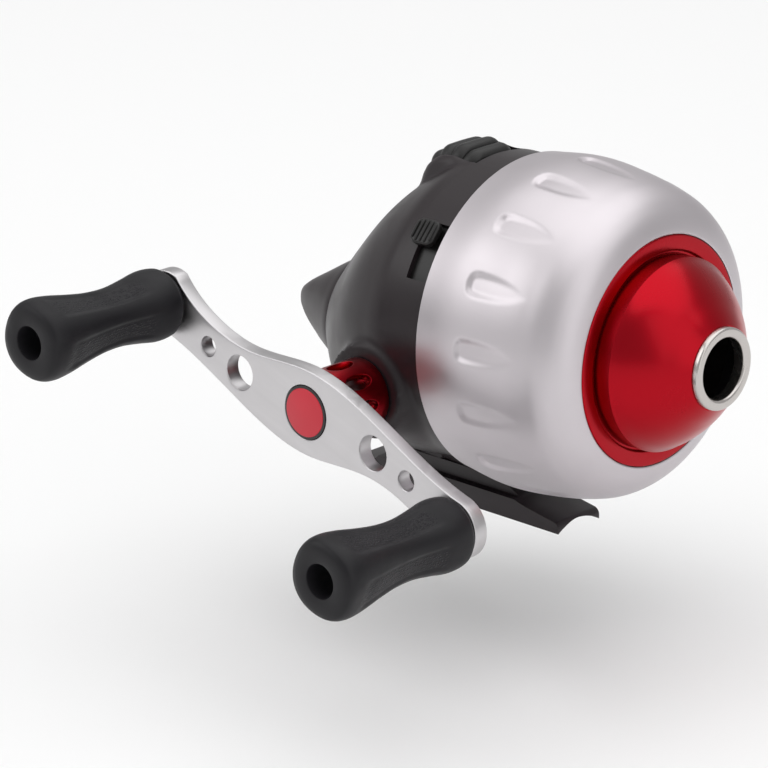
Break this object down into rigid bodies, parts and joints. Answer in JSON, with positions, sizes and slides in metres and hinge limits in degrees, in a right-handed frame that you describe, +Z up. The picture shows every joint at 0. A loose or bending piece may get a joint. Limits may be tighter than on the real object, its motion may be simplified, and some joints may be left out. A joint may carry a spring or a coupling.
{
  "type": "spincast reel",
  "caption": "Closed-face spincast fishing reel with a geared crank, two knobs, thumb release, drag wheel, alert switch and a saddle foot.",
  "frame": {"origin": "centre of the foot's flat underside pad", "axes": "+X along the reel axis toward the line exit, +Z up away from the rod, crank on the -Y side"},
  "size_m": [0.1172, 0.1237, 0.0783],
  "materials": {
    "cover_metal": "satin silver",
    "red_anodised": "red anodised, satin",
    "guide_steel": "polished steel",
    "body_plastic": "charcoal satin",
    "black_rubber": "matt ribbed",
    "knob_rubber": "stippled matt",
    "arm_metal": "brushed satin",
    "inner_steel": "machined",
    "inner_brass": "machined",
    "drag_felt": "oiled felt",
    "spool_metal": "turned"
  },
  "bodies": {
    "reel_body": {"body_housing": "body_plastic", "foot": "body_plastic", "foot_screws": "inner_steel", "deck_plate": "spool_metal", "deck_screws": "inner_steel", "shaft_bracket": "spool_metal", "pinion_bearing": "inner_steel", "crank_clutch": "inner_steel", "crank_bearing": "inner_steel", "left_bush": "inner_brass", "left_cap": "body_plastic", "spool_sleeve": "inner_brass", "drag_washer": "drag_felt", "drag_plate": "inner_steel", "spool_clip": "inner_steel", "dial_axle": "inner_steel"},
    "crank": {"crank_shaft": "inner_steel", "drive_gear": "inner_brass", "crank_hub": "red_anodised", "handle_arm": "arm_metal", "handle_screw": "inner_steel", "handle_badge": "red_anodised", "knob_pin_front": "inner_steel", "knob_pin_rear": "inner_steel"},
    "knob_front": {"knob_front": "knob_rubber"},
    "knob_rear": {"knob_rear": "knob_rubber"},
    "pinion": {"pinion": "inner_brass"},
    "rotor": {"centre_shaft": "inner_steel", "spinner_head": "spool_metal", "head_nut": "inner_brass", "return_spring": "inner_steel"},
    "pickup": {"pickup_pin": "inner_steel"},
    "thumb_button": {"thumb_button": "body_plastic"},
    "spool": {"spool": "spool_metal"},
    "drag_dial": {"drag_dial": "black_rubber"},
    "alert_switch": {"alert_switch": "black_rubber"},
    "cover": {"front_cover": "cover_metal", "cone_insert": "red_anodised", "line_guide_ring": "guide_steel"}
  },
  "joints": [
    {"name": "crank_turn", "type": "hinge", "parent": "reel_body", "child": "crank", "pos_m": [0, 0, 0.031], "axis": [0, 1, 0], "continuous": true},
    {"name": "knob_front_spin", "type": "hinge", "parent": "crank", "child": "knob_front", "pos_m": [0.0407, 0, 0.0163], "axis": [0, 1, 0], "continuous": true},
    {"name": "knob_rear_spin", "type": "hinge", "parent": "crank", "child": "knob_rear", "pos_m": [-0.0407, 0, 0.0457], "axis": [0, 1, 0], "continuous": true},
    {"name": "pinion_turn", "type": "hinge", "parent": "reel_body", "child": "pinion", "pos_m": [0, 0, 0.0435], "axis": [1, 0, 0], "continuous": true},
    {"name": "button_press", "type": "slide", "parent": "reel_body", "child": "thumb_button", "axis": [1, 0, 0], "range_m": [0, 0.004], "stiffness_N_per_m": 700, "springref_m": -0.002},
    {"name": "rotor_shift", "type": "slide", "parent": "pinion", "child": "rotor", "axis": [1, 0, 0], "range_m": [0, 0.004], "deforming": ["return_spring"]},
    {"name": "pickup_retract", "type": "slide", "parent": "rotor", "child": "pickup", "axis": [0, 0, 1], "range_m": [-0.002, 0]},
    {"name": "spool_turn", "type": "hinge", "parent": "reel_body", "child": "spool", "pos_m": [0.025, 0, 0.0435], "axis": [1, 0, 0], "continuous": true},
    {"name": "drag_adjust", "type": "hinge", "parent": "reel_body", "child": "drag_dial", "pos_m": [0.0005, 0, 0.0671], "axis": [0, 1, 0], "range_deg": [-150, 150]},
    {"name": "alert_slide", "type": "hinge", "parent": "reel_body", "child": "alert_switch", "pos_m": [0.01, 0, 0.0435], "axis": [1, 0, 0], "range_deg": [0, 12]},
    {"name": "cover_off", "type": "slide", "parent": "reel_body", "child": "cover", "axis": [1, 0, 0], "range_m": [0, 0.06]}
  ],
  "couplings": [
    {"joint": "pinion_turn", "follows": "crank_turn", "ratio": -3.4},
    {"joint": "rotor_shift", "follows": "button_press", "ratio": 1},
    {"joint": "pickup_retract", "follows": "button_press", "ratio": -0.5}
  ]
}
